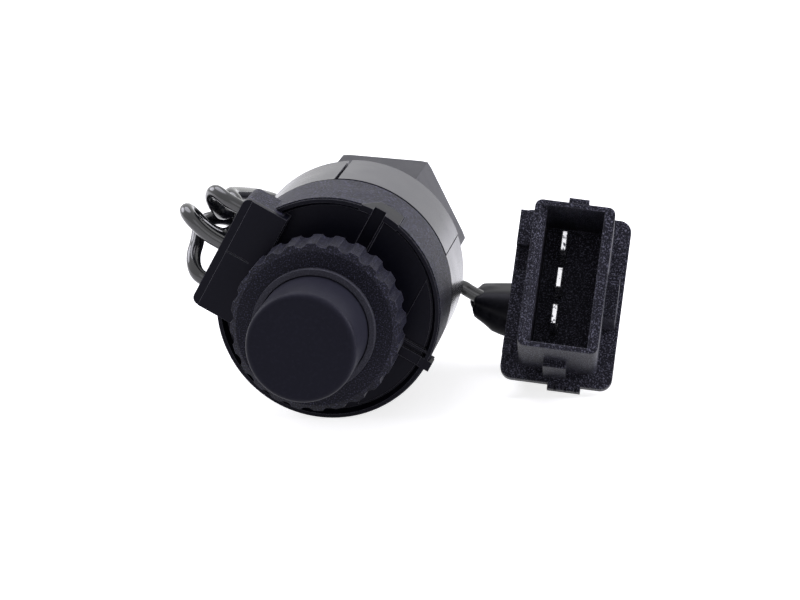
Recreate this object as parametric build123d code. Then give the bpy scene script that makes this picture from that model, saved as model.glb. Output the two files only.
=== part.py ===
from build123d import *
import os
from math import cos, degrees, pi, radians, sin, tan

# Driven speed sensor for a gearbox, lying on its drum with its connector on the floor beside it.
# The pieces on the sensor's axis are drawn along local Z, which runs from the mouth of the union
# nut towards the cap, and are laid over at the end so that the axis is horizontal.
# All sizes are in millimetres.

# Union nut: 22 mm across flats, M18 x 1.5
nut_flats = 22.0
nut_length = 16.5
nut_corner_angle = -5.4
thread_wall_radius = 8.19
thread_end = 7.5
relief_undercut = 1.0
relief_length = 3.0
nut_edge = 0.5
mouth_chamfer = 0.4
running_gap = 0.08

# Neck of the rear housing, on which the nut turns
spigot_radius = 7.0
spigot_setback = 0.5
spigot_start = thread_end + spigot_setback
neck_radius = 9.5
nut_end_play = 0.4
ring_wire = 1.2
ring_seat = 0.05
ring_radius = spigot_radius + ring_seat
ring_setback = 2.5
ring_station = nut_length - ring_setback
ring_play = 0.1
ring_opening = 24.0

# Drum
drum_radius = 15.4
drum_rear = 24.0
drum_split = 37.5
drum_edge = 0.5
cup_wall = 2.4
cup_floor = 2.5
band_wall = 1.5
band_front = 49.5
partition_thickness = 1.8
rim_height = 1.2
rim_wall = 1.0
fit_gap = 0.1
gasket_inset = 0.6
gasket_width = 0.6
gasket_height = 0.6
coring_depth = 0.8
coring_land = 1.1
coring_inner = neck_radius + coring_land
coring_margin = 2.0
coring_outer = drum_radius - coring_margin
coring_rib = 1.2
coring_ribs = 8

# Access panel let into the rear half
panel_angles = (17.0, 92.0)
panel_thickness = 1.2
panel_seat_gap = 0.04
panel_gap_low = 0.15
panel_gap_high = 0.5
panel_gap_front = 0.5
window_margin_deg = 9.0
window_margin = 2.6

# Boss, through the middle of the front cover
boss_radius = 8.9
boss_rise = 8.1
boss_end = band_front + boss_rise
boss_core_wall = 2.3
boss_core_radius = boss_radius - boss_core_wall

# Front cover
cover_drop = 1.9
cover_seat = band_front - cover_drop
cover_plate = 1.2
cover_rise = 0.5
cover_front = band_front + cover_rise
cover_inset = 0.15
cover_radius = drum_radius - cover_inset
cover_rim = 0.5
cover_rim_inner = cover_radius - cover_rim
cover_slope = 0.5
cover_recess_radius = cover_rim_inner - cover_slope
rim_joint = 0.05
tab_angle = 59.3
tab_half_width = 2.86
tab_flat = 0.9
tab_drop = 4.9
tab_rear = band_front - tab_drop
tab_thickness = 0.87
groove_left = -0.77
groove_right = 1.0
groove_land = 0.7
groove_start = boss_radius + groove_land
groove_depth = 0.5
groove_rib = 0.3
segment_land = 0.93
segment_chord = boss_radius + segment_land
segment_height = 0.3
segment_margin = 0.2
segment_radius = cover_recess_radius - segment_margin
latch_left = -0.84
latch_right = 0.5
latch_sides = (latch_left, latch_right)
latch_wall_side = 1.5
latch_land = 2.0
latch_start = boss_radius + latch_land
latch_overhang = 0.6
latch_reach = drum_radius + latch_overhang
latch_height = 0.9
latch_foot = 2.4
latch_leg = 0.5
catch_height = 0.9

# Cable box on the drum's rim; p points outwards through the box, q across it
box_angle = 60.0
box_setback = 5.0
box_inner = drum_radius - box_setback
box_overhang = 1.4
box_outer = drum_radius + box_overhang
box_low = -7.8
box_high = 8.7
box_drop = 5.0
box_rear = band_front - box_drop
box_rise = 1.5
box_mouth = band_front + box_rise
box_lid = 1.0
box_wall = 0.8
box_floor = 1.2
box_exit_wall = 1.6
box_corner = 1.0
riser_wall = 0.8
lid_strip = 1.1
lid_strip_drop = 0.25
lid_seam = 0.8
lid_seam_width = 0.14
lid_seam_land = 1.9
exit_high = 6.3
exit_middle = 0.7
exit_low = -5.0
exit_sides = (exit_high, exit_middle, exit_low)
exit_drop = 1.9
exit_station = box_mouth - exit_drop
comb_thickness = 1.8
comb_setback = 0.2
comb_outer = box_outer - box_exit_wall - comb_setback
comb_inner = comb_outer - comb_thickness

# Bushes and rotor
ferrule_radius = 5.5
bush_radius = 4.0
bush_length = 6.0
rear_bush_depth = 5.0
rear_bush_station = spigot_start + rear_bush_depth
front_bush_depth = 13.6
front_bush_station = boss_end - front_bush_depth
shaft_radius = 2.5
shaft_bore_gap = 0.03
shaft_passage_gap = 0.7
shaft_passage = shaft_radius + shaft_passage_gap
tang_side = 2.7
tang_length = 3.5
tang_chamfer = 0.4
tang_recess = 0.5
shaft_rear = spigot_start + tang_recess + tang_length
shaft_recess = 1.6
shaft_front = boss_end - shaft_recess
socket_depth = 5.0
clip_thickness = 0.6
clip_overlap = 1.7
clip_radius = shaft_radius + clip_overlap
clip_groove = 0.4
clip_groove_radius = shaft_radius - clip_groove
clip_half_opening = 45.0
washer_radius = 5.5
washer_thickness = 0.8
hub_radius = 6.0
hub_gap = 1.5
hub_front = drum_split - hub_gap
hub_flange_radius = 9.0
hub_flange = 1.5
rotor_gap = 2.0
magnet_radius = drum_radius - cup_wall - rotor_gap
magnet_setback = 1.1
magnet_front = hub_front - magnet_setback

# Circuit board, sensor chip and pins
board_rise = 4.0
board_station = drum_split + board_rise
board_thickness = 1.0
board_play = 0.4
board_inner = boss_radius + board_play
board_rim_play = 0.3
board_outer = drum_radius - band_wall - board_rim_play
board_notch_width = 3.0
board_notch_depth = 1.0
post_radius = 0.9
post_inset = 1.4
post_circle = board_outer - post_inset
post_angles = (30.0, 205.0, 285.0)
chip_width = 4.1
chip_length = 3.0
chip_height = 1.5
chip_inset = 0.1
chip_circle = magnet_radius - chip_inset
chip_angle = 250.0
chip_floor = 0.5
leg_side = 0.4
leg_pitch = 1.0
resistor_length = 1.6
resistor_width = 1.0
resistor_height = 0.7
capacitor_length = 2.6
capacitor_width = 1.6
capacitor_height = 1.2
driver_length = 3.0
driver_width = 2.0
driver_height = 1.4
pin_radius = 0.3
pin_land = 1.2
pin_p = box_inner + pin_land

# Cap nut and blanking plug
cap_overlap = 3.1
cap_rear = boss_end - cap_overlap
cap_length = 6.3
cap_front = cap_rear + cap_length
cap_wall = 2.55
cap_radius = boss_radius + cap_wall
cap_bevel = 0.6
cap_bevel_length = 0.9
cap_shoulder = 1.2
cap_bore_gap = 0.08
knurl_count = 24
knurl_cutter = 1.1
knurl_depth = 0.45
plug_radius = 7.36
plug_hole_gap = 0.14
plug_rise = 10.8
plug_end = cap_front + plug_rise
plug_wall = 1.3
plug_flange_play = 0.2
plug_flange_radius = boss_radius - plug_flange_play
plug_flange = 1.2
plug_edge = 0.9
lip_width = 0.95
lip_radius = plug_radius + lip_width
lip_height = 1.0
seal_lap = 0.76
seal_inner = plug_radius - seal_lap
cap_play = 0.1
seal_gap = 0.05

# Leads
lead_radius = 1.0
lead_hole_gap = 0.06

# Connector: origin at the middle of its mouth, local Z out of the mouth, local Y up
con_place = (32.41, -48.02)
con_right = (0.9888, 0.0424, -0.143)
con_out = (0.0988, -0.9046, 0.4147)
shroud_width = 10.9
shroud_height = 20.2
shroud_corner = 1.0
left_wall = 1.7
right_wall = 1.45
end_wall = 0.7
socket_left = left_wall - shroud_width / 2
socket_right = shroud_width / 2 - right_wall
socket_half_height = shroud_height / 2 - end_wall
socket_bevel = 1.0
flange_station = 16.2
socket_floor = 1.9
socket_depth_total = flange_station - socket_floor
flange_side = 2.36
flange_end = 1.92
flange_width = shroud_width + 2 * flange_side
flange_height = shroud_height + 2 * flange_end
flange_thickness = 1.8
flange_corner = 1.7
sleeve_side = 0.1
sleeve_end_step = 1.2
sleeve_width = shroud_width - 2 * sleeve_side
sleeve_height = shroud_height - 2 * sleeve_end_step
sleeve_length = 3.6
blade_x = -1.1
blade_y = 1.04
blade_pitch = 5.13
blade_width = 2.8
blade_thickness = 0.8
blade_tip = 6.4
blade_slot_gap = 0.05
blade_edge = 0.12
barrel_side = 2.6
barrel_length = 5.5
lock_thickness = 1.2
lug_height = 0.8
lug_left = -1.0
lug_right = 3.6
lug_ribs = 3
top_lug_left = -1.0
top_lug_right = 1.75
top_lug_height = 0.8
keel_width = 3.15
keel_shift = -0.2
keel_height = 1.1
hook_reach = 1.75
hook_top = 2.0
hook_high = 0.4
hook_low = -3.4
hook_front = 5.0
hook_foot = 9.0

# Boot
boot_wall = 1.3
boot_front_gap = 0.1
boot_length = 15.6
boot_rear_width = 10.0
boot_rear_height = 11.0
boot_rear_shift = 1.0
boot_rear_corner = 2.5
boot_corner = 2.2
boot_skirt = 1.5
boot_core_width = 6.0
boot_core_height = 9.0
boot_core_corner = 1.5
boot_rear_wall = 5.2

# Spout of the boot: middle of each section, with its height above the floor
spout_depth = 8.4
spout_tall = 4.0
spout_corner = 1.9
spout_flare = 1.2
spout_mouth = (16.4, -20.4, 9.5)
spout_out = (-0.95, 0, 0.3)
collar_tall = 6.5
collar_corner = 2.4
spout_collar = (20.6, -20.8, 8.25)
root_tall = 7.0
spout_root = (25.6, -21.5, 8.0)


def disc(radius, low, high):
    return Pos(0, 0, low) * Cylinder(radius, high - low, align=(Align.CENTER, Align.CENTER, Align.MIN))


def ring(outer, inner, low, high):
    return disc(outer, low, high) - disc(inner, low, high)


def sector(inner, outer, start, end, low, high):
    profile = Plane.XZ * Pos((inner + outer) / 2, (low + high) / 2) * Rectangle(outer - inner, high - low)
    return Rot(0, 0, start) * revolve(profile, Axis.Z, end - start)


def block(q_low, q_high, p_low, p_high, low, high):
    corner = Box(q_high - q_low, p_high - p_low, high - low, align=(Align.MIN, Align.MIN, Align.MIN))
    return Rot(0, 0, box_angle) * Pos(q_low, p_low, low) * corner


def brick(x_low, x_high, y_low, y_high, z_low, z_high):
    size = (x_high - x_low, y_high - y_low, z_high - z_low)
    return Pos(x_low, y_low, z_low) * Box(*size, align=(Align.MIN, Align.MIN, Align.MIN))


# Union nut with its captive ring

def union_nut():
    hexagon = RegularPolygon(nut_flats / 2, 6, major_radius=False, rotation=nut_corner_angle)
    corner_radius = nut_flats / 2 / cos(radians(30))
    blank = chamfer(disc(corner_radius, 0, nut_length).edges().filter_by(GeomType.CIRCLE), nut_edge)
    body = extrude(hexagon, nut_length) & blank
    body -= disc(thread_wall_radius, 0, thread_end)
    relief_end = thread_end + relief_length
    body -= disc(thread_wall_radius + relief_undercut, thread_end, relief_end)
    body -= Cone(thread_wall_radius + mouth_chamfer, thread_wall_radius, mouth_chamfer,
                 align=(Align.CENTER, Align.CENTER, Align.MIN))
    body -= disc(spigot_radius + running_gap, relief_end, nut_length)
    half = ring_wire / 2 + ring_play
    body -= disc(ring_radius + half, ring_station - half, ring_station + half)
    return body


def nut_retainer():
    wire = Pos(0, 0, ring_station) * Torus(ring_radius, ring_wire / 2)
    reach = ring_radius + ring_wire
    gap = sector(ring_radius - ring_wire, reach, -ring_opening / 2, ring_opening / 2,
                 ring_station - ring_wire, ring_station + ring_wire)
    return wire - gap


# Drum halves, panel and cover

def rear_housing():
    neck_start = nut_length + nut_end_play
    drum = disc(drum_radius, drum_rear, drum_split)
    drum = fillet(drum.edges().group_by(Axis.Z)[0], drum_edge)
    body = drum + disc(neck_radius, neck_start, drum_rear) + disc(spigot_radius, spigot_start, neck_start)
    body = chamfer(body.edges().group_by(Axis.Z)[0], nut_edge)
    body -= disc(drum_radius - cup_wall, drum_rear + cup_floor, drum_split)
    body -= disc(bush_radius, spigot_start, rear_bush_station + bush_length)
    body -= disc(shaft_passage, spigot_start, drum_split)
    half = ring_wire / 2 + ring_play
    body -= ring(spigot_radius, ring_radius - half, ring_station - half, ring_station + half)
    body -= sector(drum_radius - panel_thickness, drum_radius + 1, *panel_angles, drum_rear - 1, drum_split)
    window_low = panel_angles[0] + window_margin_deg
    window_high = panel_angles[1] - window_margin_deg
    body -= sector(drum_radius - cup_wall - 1, drum_radius, window_low, window_high,
                   drum_rear + cup_floor + window_margin / 2, drum_split - window_margin)
    pockets = ring(coring_outer, coring_inner, drum_rear, drum_rear + coring_depth)
    for number in range(coring_ribs):
        rib = Pos(coring_outer / 2, 0, drum_rear) * Box(coring_outer, coring_rib, 2 * coring_depth)
        pockets -= Rot(0, 0, number * 360 / coring_ribs) * rib
    return body - pockets


def access_panel():
    low = panel_angles[0] + degrees(panel_gap_low / drum_radius)
    high = panel_angles[1] - degrees(panel_gap_high / drum_radius)
    seat = drum_radius - panel_thickness + panel_seat_gap
    return sector(seat, drum_radius, low, high, drum_rear, drum_split - panel_gap_front)


def tab_prism(gap):
    """Outline of the cover's tab, seen from outside the drum, as a prism through the rim."""
    half = tab_half_width + gap
    rear = tab_rear - gap
    points = [(-half, rear), (tab_flat, rear), (half, band_front - fit_gap), (half, cover_front),
              (-half, cover_front)]
    outward = Plane(origin=(0, 0, 0), x_dir=(-sin(radians(tab_angle)), cos(radians(tab_angle)), 0),
                    z_dir=(cos(radians(tab_angle)), sin(radians(tab_angle)), 0))
    face = make_face(Polyline(*points, close=True))
    return extrude(outward * face, drum_radius + 1)


def front_housing():
    inner = drum_radius - band_wall
    body = ring(drum_radius, inner, drum_split, band_front)
    body += disc(drum_radius, drum_split, drum_split + partition_thickness)
    rim_outer = drum_radius - cup_wall - fit_gap
    body += ring(rim_outer, rim_outer - rim_wall, drum_split - rim_height, drum_split)
    body -= gasket_ring(fit_gap)
    seat_radius = cover_rim_inner + rim_joint + fit_gap
    body -= ring(seat_radius, inner - fit_gap, cover_seat, band_front)
    # cable box
    shell = block(box_low, box_high, box_inner + riser_wall + fit_gap, box_outer, box_rear, box_mouth)
    upright = shell.edges().filter_by(Axis.Z).sort_by(lambda e: e.center().length)
    shell = fillet(upright[-2:], box_corner)
    body += shell - disc(inner, box_rear, box_mouth)
    body -= block(box_low + box_wall, box_high - box_wall, box_inner, box_outer - box_exit_wall,
                  box_rear + box_floor, box_mouth)
    for side in exit_sides:
        hole = Rot(-90, 0, 0) * Cylinder(lead_radius + lead_hole_gap, 2 * box_exit_wall)
        body -= Rot(0, 0, box_angle) * Pos(side, box_outer, exit_station) * hole
    # boss through the cover, bored for the front bush and the cable ferrule
    body += disc(boss_radius, drum_split, boss_end)
    body -= disc(shaft_passage, drum_split - rim_height, boss_end)
    body -= disc(bush_radius, front_bush_station, boss_end)
    body -= disc(ferrule_radius, front_bush_station + bush_length, boss_end)
    body -= ring(boss_core_radius, bush_radius + rim_wall, drum_split, board_station)
    # board posts and the pocket for the sensor chip
    for angle in post_angles:
        post = disc(post_radius, drum_split + partition_thickness, board_station)
        body += Rot(0, 0, angle) * Pos(post_circle, 0, 0) * post
    pocket = Box(chip_width + 2 * fit_gap, chip_length + 2 * fit_gap, partition_thickness,
                 align=(Align.CENTER, Align.CENTER, Align.MIN))
    body -= Rot(0, 0, chip_angle) * Pos(chip_circle, 0, drum_split + chip_floor) * pocket
    # notch for the cover's tab, catch and notch for its latch
    body -= tab_prism(fit_gap) & ring(drum_radius + 1, drum_radius - tab_thickness - fit_gap,
                                      tab_rear - 1, band_front)
    catch_top = cover_front - latch_foot
    body += block(*latch_sides, -(drum_radius + latch_leg), -(drum_radius - band_wall),
                  catch_top - catch_height, catch_top)
    return body


def front_cover():
    inner = boss_radius + fit_gap
    plate_front = cover_seat + cover_plate
    wall = cover_rim_inner + rim_joint
    outline = [(inner, cover_seat), (wall, cover_seat), (wall, band_front), (cover_radius, band_front),
               (cover_radius, cover_front), (cover_rim_inner, cover_front),
               (cover_recess_radius, plate_front), (inner, plate_front)]
    body = revolve(Plane.XZ * make_face(Polyline(*outline, close=True)), Axis.Z)
    # raised segment on the latch side
    segment = disc(segment_radius, plate_front, plate_front + segment_height)
    body += segment & block(-drum_radius, drum_radius, -drum_radius, -segment_chord, plate_front, cover_front)
    # tab down the side of the drum
    body += tab_prism(0) & ring(drum_radius, drum_radius - tab_thickness, tab_rear, cover_front)
    # groove across the plate and the rim, with a fine rib on one side
    body -= block(groove_start, drum_radius + 1, groove_left, groove_right, plate_front - groove_depth,
                  cover_front + 1)
    body += block(groove_start, cover_recess_radius, groove_left - groove_rib, groove_left,
                  plate_front, plate_front + groove_rib)
    # riser and lid over the cable box
    body -= block(box_low, box_high, box_inner, drum_radius + 1, cover_seat, cover_front)
    body += block(box_low, box_high, box_inner, box_inner + riser_wall, cover_seat, box_mouth)
    lid = block(box_low, box_high, box_inner, box_outer, box_mouth, box_mouth + box_lid)
    upright = lid.edges().filter_by(Axis.Z).sort_by(lambda e: e.center().length)
    lid = fillet(upright[-2:], box_corner)
    lid -= block(box_low, box_high, box_outer - lid_strip, box_outer, box_mouth + box_lid - lid_strip_drop,
                 box_mouth + box_lid)
    lid -= block(lid_seam, lid_seam + lid_seam_width, box_inner + lid_seam_land, box_outer - lid_strip,
                 box_mouth + box_lid - lid_seam_width, box_mouth + box_lid)
    body += lid
    # latch: a flat arm that runs out over the rim and hooks down outside the drum
    arm_top = plate_front + latch_height
    foot_low = cover_front - latch_foot + fit_gap
    body += block(*latch_sides, -latch_reach, -cover_recess_radius, band_front, cover_front)
    body += block(*latch_sides, -cover_rim_inner, -latch_start, plate_front, arm_top)
    body += block(*latch_sides, -latch_reach, -(drum_radius + fit_gap), foot_low, cover_front)
    body += block(latch_wall_side - groove_rib, latch_wall_side, -cover_rim_inner, -latch_start,
                  plate_front, arm_top)
    return body - disc(inner, cover_seat, box_mouth + box_lid)


def gasket_ring(gap):
    middle = drum_radius - cup_wall + gasket_inset
    half = gasket_width / 2 + gap
    return ring(middle + half, middle - half, drum_split, drum_split + gasket_height + gap)


def housing_gasket():
    return gasket_ring(0)


# Boss fittings and rotor

def bush(station):
    return ring(bush_radius, shaft_radius + shaft_bore_gap, station, station + bush_length)


def rotor_shaft():
    clip_low = front_bush_station + bush_length + fit_gap
    shaft = disc(shaft_radius, shaft_rear, shaft_front)
    shaft -= ring(shaft_radius, clip_groove_radius, clip_low, clip_low + clip_thickness)
    tang = Pos(0, 0, shaft_rear - tang_length) * Box(tang_side, tang_side, tang_length,
                                                     align=(Align.CENTER, Align.CENTER, Align.MIN))
    square = Pos(0, 0, shaft_front - socket_depth) * Box(tang_side, tang_side, socket_depth,
                                                         align=(Align.CENTER, Align.CENTER, Align.MIN))
    return chamfer(tang.edges().group_by(Axis.Z)[0], tang_chamfer) + (shaft - square)


def shaft_circlip():
    low = front_bush_station + bush_length + fit_gap
    clip = ring(clip_radius, clip_groove_radius, low, low + clip_thickness)
    opening = sector(clip_groove_radius / 2, clip_radius + 1, -clip_half_opening, clip_half_opening,
                     low, low + clip_thickness)
    return clip - opening


def thrust_washer():
    low = drum_rear + cup_floor
    return ring(washer_radius, shaft_radius + fit_gap, low, low + washer_thickness)


def magnet_hub():
    low = drum_rear + cup_floor + washer_thickness + fit_gap
    hub = ring(hub_radius, shaft_radius, low, hub_front)
    return hub + ring(hub_flange_radius, shaft_radius, low, low + hub_flange)


def ring_magnet():
    low = drum_rear + cup_floor + washer_thickness + fit_gap + hub_flange
    return ring(magnet_radius, hub_radius, low, magnet_front)


# Electronics

def circuit_board():
    board = ring(board_outer, board_inner, board_station, board_station + board_thickness)
    return board - block(-board_notch_width / 2, board_notch_width / 2, -drum_radius, board_notch_depth - board_outer,
                         board_station, board_station + board_thickness)


def board_parts():
    top = board_station + board_thickness
    seats = ((320, capacitor_length, capacitor_width, capacitor_height),
             (345, resistor_length, resistor_width, resistor_height),
             (10, resistor_length, resistor_width, resistor_height),
             (265, driver_length, driver_width, driver_height))
    parts = []
    for angle, length, width, height in seats:
        lump = Box(width, length, height, align=(Align.CENTER, Align.CENTER, Align.MIN))
        parts.append(Rot(0, 0, angle) * Pos((board_inner + board_outer) / 2, 0, top) * lump)
    return Compound(children=parts)


def hall_sensor():
    floor = drum_split + chip_floor
    top = floor + chip_height
    chip = Pos(0, 0, floor) * Box(chip_width, chip_length, chip_height,
                                  align=(Align.CENTER, Align.CENTER, Align.MIN))
    for offset in (-leg_pitch, 0, leg_pitch):
        leg = Box(leg_side, leg_side, board_station - top, align=(Align.CENTER, Align.CENTER, Align.MIN))
        chip += Pos(0, offset, top) * leg
    return Rot(0, 0, chip_angle) * Pos(chip_circle, 0, 0) * chip


def solder_pins():
    foot = board_station + board_thickness
    parts = []
    for side in exit_sides:
        pin = disc(pin_radius, foot, exit_station + 2 * pin_radius)
        parts.append(Rot(0, 0, box_angle) * Pos(side, pin_p, 0) * pin)
    return Compound(children=parts)


def lead_comb():
    body = block(box_low + box_wall + fit_gap, box_high - box_wall - fit_gap, comb_inner, comb_outer,
                 box_rear + box_floor + fit_gap, box_mouth - fit_gap)
    for side in exit_sides:
        hole = Rot(-90, 0, 0) * Cylinder(lead_radius + lead_hole_gap, 4 * box_exit_wall)
        body -= Rot(0, 0, box_angle) * Pos(side, comb_inner, exit_station) * hole
    return body


# Cap nut and blanking plug

def knurled_nut():
    bore = boss_radius + cap_bore_gap
    body = disc(cap_radius, cap_rear, cap_front)
    body = chamfer(body.edges().group_by(Axis.Z)[-1], cap_bevel, cap_bevel_length)
    for number in range(knurl_count):
        cutter = Pos(cap_radius + knurl_cutter - knurl_depth, 0, 0) * disc(knurl_cutter, cap_rear, cap_front)
        body -= Rot(0, 0, (number + 0.5) * 360 / knurl_count) * cutter
    body += disc(lip_radius, cap_front, cap_front + lip_height)
    body -= disc(bore, cap_rear, cap_front - cap_shoulder)
    return body - disc(plug_radius + plug_hole_gap, cap_rear, cap_front + lip_height)


def blanking_plug():
    flange_front = cap_front - cap_shoulder - cap_play
    flange_rear = flange_front - plug_flange
    body = disc(plug_radius, flange_rear, plug_end)
    body = fillet(body.edges().group_by(Axis.Z)[-1], plug_edge)
    body += disc(plug_flange_radius, flange_rear, flange_front)
    return body - disc(plug_radius - plug_wall, flange_rear, plug_end - plug_wall)


def plug_seal():
    flange_rear = cap_front - cap_shoulder - cap_play - plug_flange
    return ring(plug_flange_radius, seal_inner, boss_end + seal_gap, flange_rear)


# Connector, in its own frame

def shroud_outline(width, height, corner, station):
    return Pos(0, 0, station) * RectangleRounded(width, height, corner)


def blade_centres():
    return [blade_y + blade_pitch * step for step in (1, 0, -1)]


def connector_housing():
    sleeve_end = flange_station + flange_thickness + sleeve_length
    body = extrude(shroud_outline(shroud_width, shroud_height, shroud_corner, -flange_station), flange_station)
    body += extrude(shroud_outline(flange_width, flange_height, flange_corner, -flange_station),
                    -flange_thickness)
    body += extrude(shroud_outline(sleeve_width, sleeve_height, shroud_corner, -flange_station), -(
        flange_thickness + sleeve_length))
    body -= brick(socket_left, socket_right, -socket_half_height, socket_half_height, -socket_depth_total, 0)
    bevel = [(socket_left, 0), (socket_left, -socket_bevel), (socket_left - socket_bevel, 0)]
    wedge = extrude(Plane.XZ * make_face(Polyline(*bevel, close=True)), socket_half_height, both=True)
    body -= wedge
    for centre in blade_centres():
        body -= brick(blade_x - blade_thickness / 2 - blade_slot_gap, blade_x + blade_thickness / 2 + blade_slot_gap,
                      centre - blade_width / 2 - blade_slot_gap, centre + blade_width / 2 + blade_slot_gap,
                      -sleeve_end, -socket_depth_total)
        body -= Pos(blade_x, centre, -sleeve_end) * Box(
            barrel_side + 2 * fit_gap, barrel_side + 2 * fit_gap, sleeve_end - flange_station,
            align=(Align.CENTER, Align.CENTER, Align.MIN))
    # outside: lug on top, keel under the shroud, receding hook on the right
    top = shroud_height / 2
    side = shroud_width / 2
    body += brick(top_lug_left, top_lug_right, top, top + top_lug_height, -6.0, -0.6)
    body += brick(keel_shift - keel_width / 2, keel_shift + keel_width / 2, -top - keel_height, -top,
                  -flange_station, -8.0)
    hook = [(hook_top, -hook_front), (hook_high, -hook_front), (hook_low, -hook_foot),
            (hook_low, -flange_station), (hook_top, -flange_station)]
    profile = Plane(origin=(side, 0, 0), x_dir=(0, 1, 0), z_dir=(1, 0, 0)) * make_face(Polyline(*hook, close=True))
    body += extrude(profile, hook_reach)
    # outside: two pads on the flange's left edge with a shallow recess between them
    edge = flange_width / 2
    flange_top = flange_height / 2
    body += brick(-edge, -side, 6.6, flange_top - 0.5, -flange_station, -flange_station + 1.6)
    body -= brick(-edge + 0.5, -side - 0.5, 3.2, 6.6, -flange_station - 0.6, -flange_station)
    body += brick(-edge, -edge + 1.2, -8.8, -6.6, -flange_station, -flange_station + 1.0)
    # ribbed foot under the flange
    foot_low = flange_top + lug_height
    foot = brick(lug_left, lug_right, -foot_low, 1 - flange_top, -flange_station - flange_thickness, -flange_station)
    for number in range(lug_ribs):
        x = lug_left + (number + 0.6) * (lug_right - lug_left) / (lug_ribs + 0.2)
        foot -= brick(x, x + 0.4, -foot_low, -flange_top - 0.2, -flange_station - 0.5, -flange_station)
    return body + foot


def blade(centre):
    rear = flange_station + flange_thickness + sleeve_length
    half_x, half_y = blade_thickness / 2, blade_width / 2
    strip = brick(blade_x - half_x, blade_x + half_x, centre - half_y, centre + half_y, -flange_station, -blade_tip)
    strip = chamfer(strip.edges().group_by(Axis.Z)[-1], blade_edge)
    barrel = Pos(blade_x, centre, -flange_station) * Box(
        barrel_side, barrel_side, barrel_length, align=(Align.CENTER, Align.CENTER, Align.MAX))
    crimp = Rot(0, 0, 0) * Pos(blade_x, centre, -flange_station - barrel_length) * Cylinder(
        1.1, rear - flange_station - barrel_length + lock_thickness + 1.5,
        align=(Align.CENTER, Align.CENTER, Align.MAX))
    return strip + barrel + crimp


def terminal_lock():
    rear = flange_station + flange_thickness + sleeve_length
    plate = extrude(shroud_outline(sleeve_width - 1.2, sleeve_height - 1.2, shroud_corner, -rear), -lock_thickness)
    for centre in blade_centres():
        plate -= Pos(blade_x, centre, -rear) * Box(barrel_side + 2 * fit_gap, barrel_side + 2 * fit_gap,
                                                   4 * lock_thickness)
    return plate


# Leads: routes in the laid-over frame, chosen by hand

lead_routes = {
    "lead_1": [(-7.2, -49.1, 11.5), (-11.1, -49.1, 13.7), (-13.5, -49.1, 15.1), (-15.2, -47.7, 16.1),
               (-16.2, -45.8, 14.7), (-15.9, -43.5, 12.7), (-15.5, -41.4, 11.3), (-12.83, -38.12, 12.26),
               (-14.93, -32.82, 8.26), (-16.8, -27.3, 5), (-16.6, -22.3, 2.4), (-11.2, -20.4, -3.2),
               (-8.3, -20.4, -8.1), (-3.6, -20.4, -11), (2, -20.4, -11.4), (6.9, -20.4, -10.2),
               (10.9, -20.4, -9.6), (12.7, -20.4, -6.8), (13.6, -20.4, -3.9), (16.1, -20.4, -3.6),
               (17.7, -20.4, -5.8)],
    "lead_2": [(-10, -49.1, 6.6), (-13.9, -49.1, 8.8), (-16.3, -49.1, 10.2), (-18.6, -49.1, 12.6),
               (-19.6, -47, 13.4), (-19, -44.8, 12.2), (-17.1, -44.6, 9.8), (-14.8, -43, 8.5),
               (-12.5, -43, 10.5), (-13.3, -43.1, 12.9), (-15, -39.8, 14.3), (-13.3, -33.4, 12.6),
               (-12.7, -27.1, 11), (-12.6, -20.6, 10.3), (-10.5, -18.1, 5.8), (-11.6, -18.1, 0),
               (-10.6, -18.1, -4.7), (-7.5, -18.1, -8.9), (-2.8, -18.1, -11.3), (2, -18.1, -11.4),
               (6.5, -18.1, -10.7), (10.5, -18.1, -10.1), (12.3, -18.1, -7.3), (13.2, -18.1, -4.4),
               (15.7, -18.1, -4.1), (17.3, -18.1, -6.3)],
    "lead_3": [(-12.9, -49.1, 1.7), (-16.7, -49.1, 3.9), (-18.2, -49.1, 4.7), (-19.3, -47.6, 6.2),
               (-18.6, -44.3, 7.8), (-19, -42, 10.7), (-16.87, -40.18, 10.54), (-14.77, -37.38, 9.74),
               (-17.4, -32.2, 4.2), (-17.3, -28.2, 1.3), (-17.9, -23.8, -2), (-14.2, -22.2, -5.4),
               (-6.9, -22.8, -9.5), (-2, -22.7, -11.6), (2.9, -22.7, -11.4), (7.2, -22.7, -9.6),
               (11.2, -22.7, -9), (13, -22.7, -6.2), (13.9, -22.7, -3.3), (16.4, -22.7, -3), (18, -22.7, -5.2)],
}
arc_share = 0.45


def lead(name):
    points = [Vector(*point) for point in lead_routes[name]]
    runs = [second - first for first, second in zip(points, points[1:])]
    radii = []
    for before, after in zip(runs, runs[1:]):
        turn = radians(before.get_angle(after))
        radii.append(arc_share * min(before.length, after.length) / tan(turn / 2))
    path = FilletPolyline(*points, radius=radii)
    tube = sweep(Plane(origin=path @ 0, z_dir=path % 0) * Circle(lead_radius), path=path)
    swept = pi * lead_radius ** 2 * path.length
    print(f"{name}: {path.length:.1f} mm long, volume {tube.volume:.1f} of {swept:.1f} cubic mm")
    print("  radii", [round(radius, 1) for radius in radii])
    return tube


# Boot: the body behind the flange in the connector's frame, the spout in the laid-over frame

def spout_plane(middle, out):
    across, deep, rise = middle
    return Plane(origin=(across, deep, rise - drum_radius), x_dir=(0, 1, 0), z_dir=out)


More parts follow.
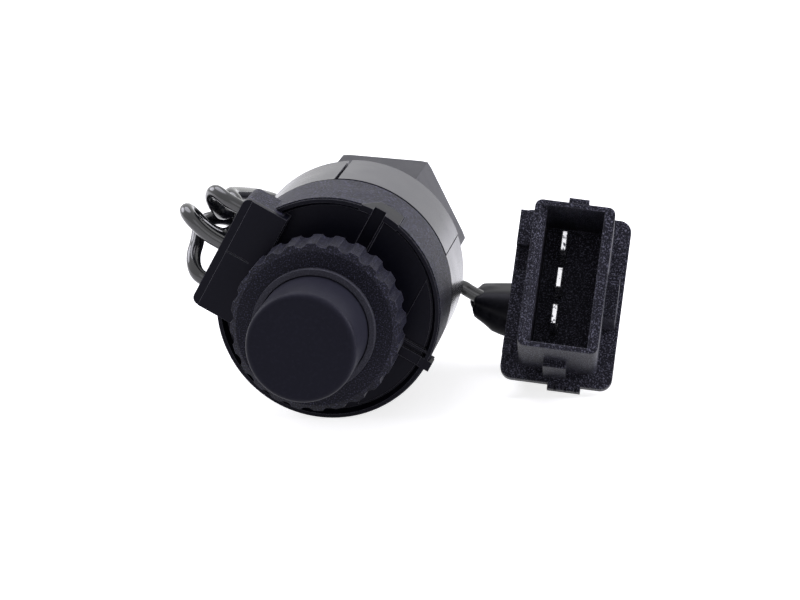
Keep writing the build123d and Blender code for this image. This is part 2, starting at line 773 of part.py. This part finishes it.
def connector_boot(place):
    front = -(flange_station + flange_thickness + boot_front_gap)
    outer_width = sleeve_width + 2 * boot_wall
    outer_height = sleeve_height + 2 * boot_wall
    rear = front - boot_length
    straight = sleeve_length + boot_skirt
    bend = front - straight
    back = Pos(boot_rear_shift, boot_rear_shift, rear) * RectangleRounded(
        boot_rear_width, boot_rear_height, boot_rear_corner)
    body = extrude(shroud_outline(outer_width, outer_height, boot_corner, front), -straight)
    body += loft([shroud_outline(outer_width, outer_height, boot_corner, bend), back])
    hollow = extrude(shroud_outline(sleeve_width, sleeve_height, shroud_corner, front), -straight)
    deep = Pos(boot_rear_shift, boot_rear_shift, rear + boot_rear_wall) * RectangleRounded(
        boot_core_width, boot_core_height, boot_core_corner)
    hollow += loft([shroud_outline(sleeve_width, sleeve_height, shroud_corner, bend), deep])
    body = place * (body - hollow)
    spout = loft([
        spout_plane(spout_mouth, spout_out) * RectangleRounded(spout_depth, spout_tall, spout_corner),
        spout_plane(spout_collar, (-1, 0, 0)) * RectangleRounded(spout_depth + spout_flare, collar_tall, collar_corner),
        spout_plane(spout_root, (-1, 0, 0)) * RectangleRounded(spout_depth + spout_flare, root_tall, collar_corner)])
    return body + spout


lay = Plane(origin=(0, 0, 0), x_dir=(1, 0, 0), z_dir=(0, -1, 0)).location
floor = -drum_radius


def stand_connector(rise):
    return Plane(origin=(*con_place, rise), x_dir=con_right, z_dir=con_out).location


lowest = (stand_connector(0) * connector_housing()).bounding_box().min.Z
set_down = stand_connector(floor - lowest)

parts = {
    "union_nut": lay * union_nut(),
    "nut_retainer": lay * nut_retainer(),
    "rear_housing": lay * rear_housing(),
    "access_panel": lay * access_panel(),
    "front_housing": lay * front_housing(),
    "front_cover": lay * front_cover(),
    "housing_gasket": lay * housing_gasket(),
    "rear_bush": lay * bush(rear_bush_station),
    "front_bush": lay * bush(front_bush_station),
    "rotor_shaft": lay * rotor_shaft(),
    "shaft_circlip": lay * shaft_circlip(),
    "thrust_washer": lay * thrust_washer(),
    "magnet_hub": lay * magnet_hub(),
    "ring_magnet": lay * ring_magnet(),
    "circuit_board": lay * circuit_board(),
    "board_parts": lay * board_parts(),
    "hall_sensor": lay * hall_sensor(),
    "solder_pins": lay * solder_pins(),
    "lead_comb": lay * lead_comb(),
    "knurled_nut": lay * knurled_nut(),
    "blanking_plug": lay * blanking_plug(),
    "plug_seal": lay * plug_seal(),
    "connector_housing": set_down * connector_housing(),
    "terminal_lock": set_down * terminal_lock(),
    "connector_boot": connector_boot(set_down),
}
for number, centre in enumerate(blade_centres(), start=1):
    parts[f"blade_{number}"] = set_down * blade(centre)
for name in lead_routes:
    parts[name] = lead(name)
for name in lead_routes:
    parts["connector_boot"] -= parts[name]

for name in ("connector_housing", "connector_boot", *lead_routes):
    print(f"{name} is {parts[name].bounding_box().min.Z - floor:.2f} mm above the floor")

os.makedirs("parts", exist_ok=True)
for name, part in parts.items():
    export_step(part, f"parts/{name}.step")
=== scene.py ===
# %% [markdown]
# This file dresses a driven speed sensor: a small black plastic drum with a hex nut at one end, a
# knurled cap at the other, and a three-blade connector on three short leads.
# The solids come from CAD at their true size. We load them first, as a fixed frame.

# %% Load the solids
import bmesh
import bpy
from math import atan, degrees, exp, radians
from mathutils import Matrix, Quaternion, Vector


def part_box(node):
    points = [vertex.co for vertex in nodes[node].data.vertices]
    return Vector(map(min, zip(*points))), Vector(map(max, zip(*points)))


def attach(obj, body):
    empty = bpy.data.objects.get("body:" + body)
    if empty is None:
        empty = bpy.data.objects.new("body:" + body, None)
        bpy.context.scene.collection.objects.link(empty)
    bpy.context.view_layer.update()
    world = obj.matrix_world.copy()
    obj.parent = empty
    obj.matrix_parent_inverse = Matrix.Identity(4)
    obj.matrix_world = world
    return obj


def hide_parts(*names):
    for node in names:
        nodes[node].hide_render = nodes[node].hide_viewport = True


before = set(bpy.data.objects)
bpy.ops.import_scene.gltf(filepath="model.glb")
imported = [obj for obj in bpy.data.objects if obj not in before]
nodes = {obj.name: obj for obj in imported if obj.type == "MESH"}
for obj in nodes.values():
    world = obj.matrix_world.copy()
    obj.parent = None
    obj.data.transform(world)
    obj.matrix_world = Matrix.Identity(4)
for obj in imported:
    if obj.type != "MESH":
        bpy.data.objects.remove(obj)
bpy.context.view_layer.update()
MM = 0.001

# %% [markdown]
# The camera stands half a metre away and looks 13.5 degrees down, with a long lens. The long lens
# keeps the rings of the drum nearly the same size from front to back, as a product photograph does.
# We aim it with a direction vector: to_track_quat turns the vector into a rotation.

# %% Camera
CAMERA_PLACE = Vector((75.82, -482.74, 106.47)) * MM
CAMERA_AIM = Vector((-0.14623, 0.96126, -0.23365))
CAMERA_ROLL = radians(-2.04)
LENS = 150.1
SENSOR = 36.0
NEAREST_SEEN = 0.01

camera = bpy.data.objects.new("camera", bpy.data.cameras.new("camera"))
bpy.context.collection.objects.link(camera)
camera.location = CAMERA_PLACE
aim = CAMERA_AIM.to_track_quat("-Z", "Y") @ Quaternion((0, 0, 1), CAMERA_ROLL)
camera.rotation_euler = aim.to_euler()
camera.data.lens = LENS
camera.data.sensor_width = SENSOR
camera.data.clip_start = NEAREST_SEEN
bpy.context.scene.camera = camera
bpy.context.scene.view_settings.view_transform = "Standard"
print("field of view:", round(2 * degrees(atan(SENSOR / 2 / LENS)), 2), "degrees")

# %% [markdown]
# Shader maths reads badly as a chain of nodes, and well as a sum. The small class below wraps one
# output socket, and Python's operators on it add Math nodes.

# %% A socket that can be added and multiplied
class Value:
    """One output socket. Sums and products of values become Math nodes."""

    def __init__(self, tree, socket):
        self.tree = tree
        self.socket = socket

    def math(self, operation, *others, clamp=False):
        node = self.tree.nodes.new("ShaderNodeMath")
        node.operation = operation
        node.use_clamp = clamp
        for slot, value in zip(node.inputs, (self, *others)):
            fill(self.tree, slot, value)
        return Value(self.tree, node.outputs[0])

    def __add__(self, other):
        return self.math("ADD", other)

    def __radd__(self, other):
        return self.math("ADD", other)

    def __mul__(self, other):
        return self.math("MULTIPLY", other)

    def __rmul__(self, other):
        return self.math("MULTIPLY", other)

    def __sub__(self, other):
        return self.math("SUBTRACT", other)

    def __rsub__(self, other):
        return (self * -1).math("ADD", other)

    def clamped(self):
        return self.math("ADD", 0.0, clamp=True)


def fill(tree, slot, value):
    """Links a Value to an input socket, or writes a number or a colour into it."""
    if isinstance(value, Value):
        tree.links.new(value.socket, slot)
    elif slot.type == "RGBA":
        slot.default_value = (*value, 1.0)
    else:
        slot.default_value = value


def between(value, low, high):
    """0 below low, 1 above high."""
    return ((value - low) * (1 / (high - low))).clamped()


print("values ready")

# %% [markdown]
# Every node that is not part of a sum comes from one method, which takes the node's type, its
# settings and what goes into its sockets. The settings come first, because some of them change
# which sockets the node has. Some nodes have several sockets with the same name, so a socket may
# also go by its number. The numbers of the Mix node's colour sockets are named here.

# %% One method for every other node
MIX_FACTOR = 0
MIX_FIRST = 6
MIX_SECOND = 7
MIX_RESULT = 2


class Graph:
    """A node tree, of a material or of the sky."""

    def __init__(self, tree):
        self.tree = tree
        tree.nodes.clear()

    def node(self, kind, settings=None, inputs=None, output=0):
        """Adds a node and gives one of its outputs, or the node itself where output is None."""
        node = self.tree.nodes.new("ShaderNode" + kind)
        for name, value in (settings or {}).items():
            setattr(node, name, value)
        for key, value in (inputs or {}).items():
            fill(self.tree, node.inputs[key], value)
        return node if output is None else Value(self.tree, node.outputs[output])

    def mix(self, factor, first, second):
        """The first colour where factor is 0, and the second where it is 1."""
        inputs = {MIX_FACTOR: factor, MIX_FIRST: first, MIX_SECOND: second}
        return self.node("Mix", {"data_type": "RGBA"}, inputs, MIX_RESULT)

    def backdrop_rays(self):
        """1 for the rays that see the plain background: camera, glossy and transmission rays."""
        camera_ray = self.node("LightPath", output="Is Camera Ray")
        glossy_ray = self.node("LightPath", output="Is Glossy Ray")
        transmission_ray = self.node("LightPath", output="Is Transmission Ray")
        return (camera_ray + glossy_ray + transmission_ray).clamped()


print("graph ready")

# %% [markdown]
# A finish is a material with one Principled shader. Its methods give the masks and the relief that
# all our finishes share. They read the object's own coordinates, which are metres in this frame, so
# a lump of noise or a rounded edge can be given its true size in millimetres.

# %% Finishes
BLACK = (0.0, 0.0, 0.0)
LINE_CORE = 0.6
FLAT_BELOW = 0.02
SHARP_ABOVE = 0.25


class Finish(Graph):
    """A material with a Principled shader."""

    def __init__(self, name, **sockets):
        self.material = bpy.data.materials.new(name)
        self.material.use_nodes = True
        super().__init__(self.material.node_tree)
        self.shader = self.node("BsdfPrincipled", output=None)
        self.surface = Value(self.tree, self.shader.outputs[0])
        self.output = self.node("OutputMaterial", output=None)
        fill(self.tree, self.output.inputs[0], self.surface)
        self.set(**sockets)

    def set(self, **sockets):
        for name, value in sockets.items():
            fill(self.tree, self.shader.inputs[name.replace("_", " ")], value)

    def place(self):
        return self.node("TexCoord", output="Object")

    def along(self):
        """Distance in front of the nut's mouth, in millimetres, measured along the sensor's axis."""
        return self.node("SeparateXYZ", inputs={"Vector": self.place()}, output="Y") * (-1 / MM)

    def line(self, distance, middle, half_width):
        """1 where distance is at middle, 0 beyond half_width from it."""
        away = (distance - middle).math("ABSOLUTE")
        return 1 - between(away, half_width * LINE_CORE, half_width)

    def noise(self, size, detail=2.0, roughness=0.5):
        """Noise whose lumps are about size millimetres across."""
        inputs = {"Vector": self.place(), "Scale": 1 / (size * MM),
                  "Detail": detail, "Roughness": roughness}
        return self.node("TexNoise", inputs=inputs)

    def rounded(self, radius):
        """Normals as if every edge had this radius, in millimetres."""
        return self.node("Bevel", {"samples": 4}, {"Radius": radius * MM})

    def edge(self, radius):
        """1 on sharp edges and 0 on flat faces."""
        normals = {0: self.rounded(radius), 1: self.node("NewGeometry", output="Normal")}
        alike = self.node("VectorMath", {"operation": "DOT_PRODUCT"}, normals, "Value")
        return between(1 - alike, FLAT_BELOW, SHARP_ABOVE)

    def shadow_gap(self, factor):
        """Where factor is 1, the surface shows as the black inside of a gap."""
        inside = {"Base Color": BLACK, "Roughness": 1.0, "Specular IOR Level": 0.0}
        gap = self.node("BsdfPrincipled", inputs=inside)
        blend = self.node("MixShader", inputs={0: factor, 1: self.surface, 2: gap})
        fill(self.tree, self.output.inputs[0], blend)

    def bump(self, height, depth, normal=None):
        """Tilts the surface as if height, from 0 to 1, stood depth millimetres proud."""
        inputs = {"Height": height, "Distance": depth * MM, "Strength": 1.0}
        if normal is not None:
            inputs["Normal"] = normal
        return self.node("Bump", inputs=inputs)


def scaled(colour, gain):
    return tuple(min(1.0, part * gain) for part in colour)


print("finishes ready")

# %% [markdown]
# The moulded pieces are all black plastic, but they do not look alike, because their surfaces differ.
# The front half, the nuts and the connector have a fine matt grain, as spark erosion leaves in a
# mould. The rear half, the cover and the stub are smooth. One function makes the whole family, so
# that its members differ only in a few numbers: grain is the size of the marks and depth their
# height, both in millimetres, and speckle is how much lighter the marks are than the ground. The
# marks follow the real grain, but their lighter colour is painted glints.

# %% Black mouldings
PLASTIC_IOR = 1.5
GLOSS_TINT = (0.88, 0.87, 1.0)
BLOTCH_SIZE = 4.0
BLOTCH_SHARE = 0.25
BLOTCH_GAIN = 1.6
ROUGHNESS_SPREAD = 0.12
# Colour of the painted highlight on sharp edges.
PAINTED_EDGE_HIGHLIGHT = (0.32, 0.32, 0.35)
BAND_COVER = 0.55


def moulding(name, colour, roughness, grain, depth, speckle,
             edge_highlight=0.0, edge_radius=0.12, gloss=0.5, bands=()):
    finish = Finish(name, IOR=PLASTIC_IOR, Specular_Tint=GLOSS_TINT, Specular_IOR_Level=gloss)
    tone = finish.noise(BLOTCH_SIZE, 3.0)
    grit = finish.noise(grain, 2.0, 0.6)
    # The grain's marks, painted lighter as glints: a painted highlight on the real grain.
    grain_glints = between(grit, 0.52, 0.68)
    base = finish.mix(grain_glints, colour, scaled(colour, speckle))
    base = finish.mix(between(tone, 0.3, 0.8) * BLOTCH_SHARE, base, scaled(colour, BLOTCH_GAIN))
    for middle, half_width, shade in bands:
        cover = BAND_COVER + (1 - BAND_COVER) * grain_glints
        base = finish.mix(finish.line(finish.along(), middle, half_width) * cover, base, shade)
    # Sharp edges are painted lighter: a painted highlight where the rounded edges catch the light.
    if edge_highlight:
        base = finish.mix(finish.edge(edge_radius) * edge_highlight, base, PAINTED_EDGE_HIGHLIGHT)
    finish.set(Base_Color=base, Roughness=roughness + (tone - 0.5) * ROUGHNESS_SPREAD,
               Normal=finish.bump(grit, depth, finish.rounded(edge_radius)))
    return finish


lip_front = -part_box("knurled_nut")[0].y / MM
pale_lip = (lip_front - 0.1, 0.8, (0.10, 0.10, 0.12))

band_plastic = moulding("spark_eroded_band", (0.006, 0.006, 0.010), roughness=0.50, grain=0.28,
                        depth=0.120, speckle=15.0, edge_highlight=0.40, edge_radius=0.14, gloss=0.16)
nut_plastic = moulding("spark_eroded_nut", (0.014, 0.014, 0.020), roughness=0.38, grain=0.22,
                       depth=0.020, speckle=2.2, edge_highlight=0.20, gloss=0.1)
knurl_plastic = moulding("knurl_plastic", (0.005, 0.005, 0.008), roughness=0.42, grain=0.20,
                         depth=0.060, speckle=14.0, edge_highlight=0.30, gloss=0.12, bands=(pale_lip,))
smooth_plastic = moulding("polished_rear_half", (0.016, 0.016, 0.024), roughness=0.24, grain=0.60,
                          depth=0.002, speckle=1.2, edge_highlight=0.15, gloss=0.3)
smooth_plastic.set(Coat_Weight=0.1, Coat_Roughness=0.18)
cover_plastic = moulding("cover_plastic", (0.003, 0.003, 0.006), roughness=0.38, grain=0.50,
                         depth=0.003, speckle=1.3, edge_highlight=0.65, edge_radius=0.15, gloss=0.1)
stub_plastic = moulding("stub_plastic", (0.014, 0.014, 0.021), roughness=0.46, grain=0.50,
                        depth=0.003, speckle=1.2, edge_highlight=0.12, gloss=0.06)
connector_plastic = moulding("connector_plastic", (0.017, 0.017, 0.022), roughness=0.42, grain=0.20,
                             depth=0.080, speckle=12.0, edge_highlight=0.26, edge_radius=0.30, gloss=0.06)
boot_rubber = moulding("boot_rubber", (0.006, 0.006, 0.008), roughness=0.45, grain=0.5,
                       depth=0.004, speckle=1.5, edge_highlight=0.06, gloss=0.1)
seal_rubber = moulding("seal_rubber", (0.008, 0.008, 0.008), roughness=0.6, grain=0.3,
                       depth=0.004, speckle=1.5)
print("mouldings made, lip of the cap nut at", round(lip_front, 2), "mm")

# %% [markdown]
# The two halves of the drum meet in a thin, uneven dark line. A dark colour alone would not show,
# because gloss is added on top of it, so we blend to a black shader without gloss along the line.
# A little noise added to the distance makes the line wander.

# %% The line where the halves meet
JOINT_HALF_WIDTH = 0.2
JOINT_WANDER = 0.35
JOINT_WANDER_SIZE = 1.5

halves_meet = -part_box("rear_housing")[0].y / MM
for finish in (band_plastic, smooth_plastic):
    wander = (finish.noise(JOINT_WANDER_SIZE, 3.0) - 0.5) * JOINT_WANDER
    finish.shadow_gap(finish.line(finish.along() + wander, halves_meet, JOINT_HALF_WIDTH))
print("drum halves meet at", round(halves_meet, 2), "mm")

# %% [markdown]
# Metal needs a metallic shader and a little variation in roughness, or it looks like grey paint.
# Tin plate on the blades is bright with dark scuffs, the sintered bushes are dull, and the magnet is
# dark and grainy. The magnet, the hub and the board are no metals, so the moulding function makes
# them.

# %% Metals and the inner pieces
WEAR_RELIEF = 0.004
WEAR_SPREAD = 0.2
WEAR_SHARE = 0.35
WEAR_GAIN = 0.6
METAL_EDGE = 0.06


def bare_metal(name, roughness, grain, metallic=1.0):
    """A metal surface whose colour is still to be set, and the noise that stands for its wear."""
    finish = Finish(name, Metallic=metallic)
    wear = finish.noise(grain, 3.0)
    finish.set(Roughness=roughness + (wear - 0.5) * WEAR_SPREAD,
               Normal=finish.bump(wear, WEAR_RELIEF, finish.rounded(METAL_EDGE)))
    return finish, wear


def metal(name, colour, roughness, grain=0.4):
    finish, wear = bare_metal(name, roughness, grain)
    finish.set(Base_Color=finish.mix(wear * WEAR_SHARE, colour, scaled(colour, WEAR_GAIN)))
    return finish


tin, _ = bare_metal("tin_plate", roughness=0.25, grain=0.4, metallic=0.8)
scuffs = between(tin.noise(0.45, 3.0, 0.7), 0.56, 0.62)
tin.set(Base_Color=tin.mix(scuffs, (0.72, 0.72, 0.72), (0.03, 0.03, 0.04)))
steel = metal("turned_steel", (0.58, 0.58, 0.60), roughness=0.32)
spring = metal("phosphated_spring", (0.22, 0.22, 0.24), roughness=0.4)
bronze = metal("sintered_bronze", (0.55, 0.38, 0.22), roughness=0.5, grain=0.2)
ferrite = moulding("ferrite", (0.045, 0.045, 0.05), roughness=0.5, grain=0.15,
                   depth=0.01, speckle=1.6, edge_highlight=0.4)
hub_plastic = moulding("white_hub", (0.62, 0.61, 0.57), roughness=0.4, grain=0.4,
                       depth=0.003, speckle=1.05)
board_mask = moulding("solder_mask", (0.01, 0.09, 0.03), roughness=0.3, grain=0.4,
                      depth=0.003, speckle=1.5)
chips = moulding("chip_package", (0.02, 0.02, 0.02), roughness=0.5, grain=0.1,
                 depth=0.004, speckle=1.5)
print("metals made")

# %% [markdown]
# Each solid has one material slot. Putting a material there does not change the solid's shape.

# %% Dress the solids
dressing = {
    band_plastic: ["front_housing"],
    nut_plastic: ["union_nut"],
    knurl_plastic: ["knurled_nut"],
    smooth_plastic: ["rear_housing", "access_panel"],
    cover_plastic: ["front_cover"],
    stub_plastic: ["blanking_plug"],
    connector_plastic: ["connector_housing", "terminal_lock"],
    boot_rubber: ["connector_boot"],
    seal_rubber: ["housing_gasket", "plug_seal", "lead_comb"],
    tin: ["blade_1", "blade_2", "blade_3", "solder_pins"],
    steel: ["rotor_shaft", "thrust_washer"],
    spring: ["nut_retainer", "shaft_circlip"],
    bronze: ["rear_bush", "front_bush"],
    ferrite: ["ring_magnet"],
    hub_plastic: ["magnet_hub"],
    board_mask: ["circuit_board"],
    chips: ["board_parts", "hall_sensor"],
}
for finish, names in dressing.items():
    for name in names:
        mesh = nodes[name].data
        mesh.materials.clear()
        mesh.materials.append(finish.material)
print("dressed:", sum(len(names) for names in dressing.values()), "solids")

# %% [markdown]
# The boot is a soft rubber moulding, so none of its edges is sharp. The CAD solid has the right size
# but crisp corners. We copy its mesh, rebuild the copy from small cubes (voxel remesh) and smooth it,
# which rounds every edge at once. An egg-shaped shoulder over the wires' mouth is put in before the
# remesh, which melts it into the rest. Then we move vertices: the chin under the mouth slopes back,
# and a seam line is pressed in that runs from the mouth to the flange.

# %% Rubber boot
VOXEL = 0.42
SOFTENING = 0.5
SOFTENING_ROUNDS = 5
SEAM_START = Vector((15.9, -5.6))
SEAM_END = Vector((21.6, -7.9))
SEAM_DEPTH = 0.6
SEAM_WIDTH = 0.55
SHOULDER_PLACE = Vector((18.6, -20.6, -6.0))
SHOULDER_SIZE = Vector((3.0, 4.1, 2.25))
SHOULDER_ROUNDNESS = 4
CHIN_HEIGHT = -6.2
CHIN_END = 19.0
CHIN_RAMP = 3.0
CHIN_SLOPE = 0.45


def settled(obj):
    """The object's mesh with its modifiers applied."""
    graph = bpy.context.evaluated_depsgraph_get()
    mesh = bpy.data.meshes.new_from_object(obj.evaluated_get(graph))
    obj.modifiers.clear()
    return mesh


boot = bpy.data.objects.new("soft_boot", nodes["connector_boot"].data.copy())
bpy.context.collection.objects.link(boot)
form = bmesh.new()
form.from_mesh(boot.data)
shoulder = Matrix.LocRotScale(SHOULDER_PLACE * MM, None, SHOULDER_SIZE * MM)
bmesh.ops.create_icosphere(form, subdivisions=SHOULDER_ROUNDNESS, radius=1.0, matrix=shoulder)
form.to_mesh(boot.data)
form.free()
cubes = boot.modifiers.new("cubes", "REMESH")
cubes.mode = "VOXEL"
cubes.voxel_size = VOXEL * MM
softening = boot.modifiers.new("softening", "SMOOTH")
softening.factor = SOFTENING
softening.iterations = SOFTENING_ROUNDS
boot.data = settled(boot)
seam = SEAM_END - SEAM_START
for vertex in boot.data.vertices:
    below = max(CHIN_HEIGHT - vertex.co.z / MM, 0.0)
    ahead = min(max((CHIN_END - vertex.co.x / MM) / CHIN_RAMP, 0.0), 1.0)
    vertex.co.x += below * ahead * CHIN_SLOPE * MM
    spot = Vector((vertex.co.x, vertex.co.z)) / MM - SEAM_START
    share = min(max(spot.dot(seam) / seam.length_squared, 0.0), 1.0)
    away = (spot - seam * share).length / SEAM_WIDTH
    front = max(-vertex.normal.y, 0.0)
    vertex.co -= vertex.normal * (SEAM_DEPTH * MM * front * exp(-away * away))
boot.data.shade_smooth()
boot.data.materials.clear()
boot.data.materials.append(boot_rubber.material)
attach(boot, "housing")
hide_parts("connector_boot")
print("boot:", len(boot.data.vertices), "vertices")

# %% [markdown]
# The leads are single wires in a glossy black sheath. A NURBS curve with a round bevel is the right
# tool: the curve is the wire's centre line, and its control points are the points of the route.
# The order is set after the points are in, because a curve with too few points drops to order two.
# Not all points were chosen by hand: many come from programs that fitted the wires so that they
# keep clear of the drum and of each other.

# %% Leads
LEAD_DIAMETER = 2.0
BEVEL_STEPS = 6
CURVE_STEPS = 10
ROUTES = {
    "lead_1": [(-7.2, -49.1, 11.5), (-11.1, -49.1, 13.7), (-13.5, -49.1, 15.1), (-15.2, -47.7, 16.1),
               (-16.2, -45.8, 14.7), (-15.9, -43.5, 12.7), (-15.5, -41.4, 11.3), (-12.83, -38.12, 12.26),
               (-14.93, -32.82, 8.26), (-16.8, -27.3, 5), (-16.6, -22.3, 2.4), (-11.2, -20.4, -3.2),
               (-8.3, -20.4, -8.1), (-3.6, -20.4, -11), (2, -20.4, -11.4), (6.9, -20.4, -10.2),
               (10.9, -20.4, -9.6), (12.6, -20.4, -6.8), (13.2, -20.4, -4.6), (14.4, -20.4, -3.7),
               (15.9, -20.4, -4.8), (17.7, -20.4, -5.8)],
    "lead_2": [(-10, -49.1, 6.6), (-13.9, -49.1, 8.8), (-16.3, -49.1, 10.2), (-18.6, -49.1, 12.6),
               (-19.6, -47, 13.4), (-19, -44.8, 12.2), (-17.1, -44.6, 9.8), (-14.8, -43, 8.5),
               (-12.5, -43, 10.5), (-13.3, -42.3, 13.2), (-15, -39.8, 14), (-14.3, -34.9, 12.9),
               (-13.7, -29.2, 11.6), (-13.3, -23.9, 10.2), (-11.5, -20.1, 8.6), (-11.1, -18.5, 4.8),
               (-11.6, -18.1, 0), (-10.6, -18.1, -4.7), (-7.5, -18.1, -8.9), (-2.8, -18.1, -11.3),
               (2, -18.1, -11.4), (6.5, -18.1, -10.7), (10.5, -18.1, -10.1), (12.3, -18.1, -7.4),
               (12.9, -18.1, -5.1), (14.1, -18.1, -4.3), (15.6, -18.1, -5.4), (17.3, -18.1, -6.3)],
    "lead_3": [(-12.9, -49.1, 1.7), (-16.5, -49.1, 3.7), (-18.2, -49, 4.8), (-18.9, -47.1, 6.7),
               (-18.7, -44.1, 8.3), (-18.7, -42.2, 10.4), (-17, -40.5, 10.8), (-14.9, -37.4, 9.8),
               (-15.9, -33.1, 5.7), (-17.3, -28.2, 1.3), (-17.9, -23.8, -2), (-14.2, -22.2, -5.4),
               (-6.9, -22.8, -9.5), (-2, -22.7, -11.6), (2.9, -22.7, -11.4), (7.2, -22.7, -9.6),
               (11.2, -22.7, -9), (12.9, -22.7, -6.2), (13.5, -22.7, -4), (14.8, -22.7, -3.2),
               (16.2, -22.7, -4.3), (18, -22.7, -5.2)],
}

sheath = Finish("lead_sheath", IOR=PLASTIC_IOR, Coat_Weight=0.5, Coat_Roughness=0.05)
smear = sheath.noise(1.2, 3.0)
sheath.set(Base_Color=sheath.mix(smear, (0.006, 0.006, 0.009), (0.016, 0.018, 0.02)),
           Roughness=0.1 + smear * 0.16, Normal=sheath.bump(smear, 0.01))


def lead(name):
    curve = bpy.data.curves.new(name + "_wire", "CURVE")
    curve.dimensions = "3D"
    curve.bevel_depth = LEAD_DIAMETER / 2 * MM
    curve.bevel_resolution = BEVEL_STEPS
    curve.resolution_u = CURVE_STEPS
    curve.use_fill_caps = True
    spline = curve.splines.new("NURBS")
    route = ROUTES[name]
    spline.points.add(len(route) - 1)
    for point, place in zip(spline.points, route):
        point.co = (*(part * MM for part in place), 1.0)
    spline.order_u = 3
    spline.use_endpoint_u = True
    wire = bpy.data.objects.new(name + "_wire", curve)
    bpy.context.collection.objects.link(wire)
    curve.materials.append(sheath.material)
    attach(wire, "housing")
    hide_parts(name)


for name in ROUTES:
    lead(name)

# %% [markdown]
# The studio is a pale floor, a soft sky and four soft lamps. Smooth black plastic shows little
# colour of its own and lives from what it mirrors. Camera, glossy and transmission rays see a white
# sky and a white floor that keeps the sensor's shadow. All other rays see a dimmer floor, and a sky
# that is brighter behind and above the sensor than in front of it.

# %% Floor and lamps
FLOOR_HEIGHT = -15.4 * MM
FLOOR_SIZE = 6.0
FLOOR_DIM = (0.32, 0.32, 0.33)
FLOOR_SEEN = (0.55, 0.55, 0.55)
FLOOR_GLOW = (0.80, 0.80, 0.80)
LAMP_TINT = (0.91, 0.90, 1.0)
LAMPS_AIM = Vector((0.01, -0.03, 0.0))
LAMPS = {
    "overhead": {"place": (-0.15, 0.10, 0.60), "size": 0.50, "watts": 2.2},
    "rim_left": {"place": (-0.50, 0.15, 0.30), "size": 0.35, "watts": 1.3},
    "rim_right": {"place": (0.50, 0.05, 0.22), "size": 0.40, "watts": 2.6},
    "front": {"place": (0.12, -0.55, 0.28), "size": 0.30, "watts": 0.19},
}


def floor_plane():
    half = FLOOR_SIZE / 2
    corners = [(x * half, y * half, FLOOR_HEIGHT) for x, y in ((-1, -1), (1, -1), (1, 1), (-1, 1))]
    mesh = bpy.data.meshes.new("floor")
    mesh.from_pydata(corners, [], [(0, 1, 2, 3)])
    plane = bpy.data.objects.new("floor", mesh)
    bpy.context.collection.objects.link(plane)
    paper = Finish("floor_paper", Roughness=0.9, Emission_Strength=1.0)
    seen = paper.backdrop_rays()
    paper.set(Base_Color=paper.mix(seen, FLOOR_DIM, FLOOR_SEEN),
              Emission_Color=paper.mix(seen, BLACK, FLOOR_GLOW))
    mesh.materials.append(paper.material)


def soft_lamp(name, place, size, watts):
    light = bpy.data.lights.new(name, "AREA")
    light.shape = "DISK"
    light.size = size
    light.energy = watts
    light.color = LAMP_TINT
    lamp = bpy.data.objects.new(name, light)
    bpy.context.collection.objects.link(lamp)
    lamp.location = place
    lamp.rotation_euler = (LAMPS_AIM - Vector(place)).to_track_quat("-Z", "Y").to_euler()


floor_plane()
for name, lamp in LAMPS.items():
    soft_lamp(name, **lamp)
print("lamps:", ", ".join(LAMPS))

# %% [markdown]
# The sky is a node tree too. In it the Generated coordinate is the direction that a ray looks, so
# its Y grows towards the back of the scene and its Z grows upwards.

# %% Sky
WHITE = (1.0, 1.0, 1.0)
SKY_LEVEL = 0.55
SKY_BEHIND = 0.42
SKY_ABOVE = 0.25
SKY_LEAST = 0.18

world = bpy.data.worlds.new("studio")
bpy.context.scene.world = world
world.use_nodes = True
sky = Graph(world.node_tree)
direction = sky.node("TexCoord", output="Generated")
back = sky.node("SeparateXYZ", inputs={"Vector": direction}, output="Y")
up = sky.node("SeparateXYZ", inputs={"Vector": direction}, output="Z")
glow = (SKY_LEVEL + SKY_BEHIND * back + SKY_ABOVE * up).math("MAXIMUM", SKY_LEAST)
seen = sky.backdrop_rays()
light = {"Color": sky.mix(seen, LAMP_TINT, WHITE), "Strength": seen + (1 - seen) * glow}
sky.node("OutputWorld", inputs={"Surface": sky.node("Background", inputs=light)}, output=None)
print("sky:", len(world.node_tree.nodes), "nodes")
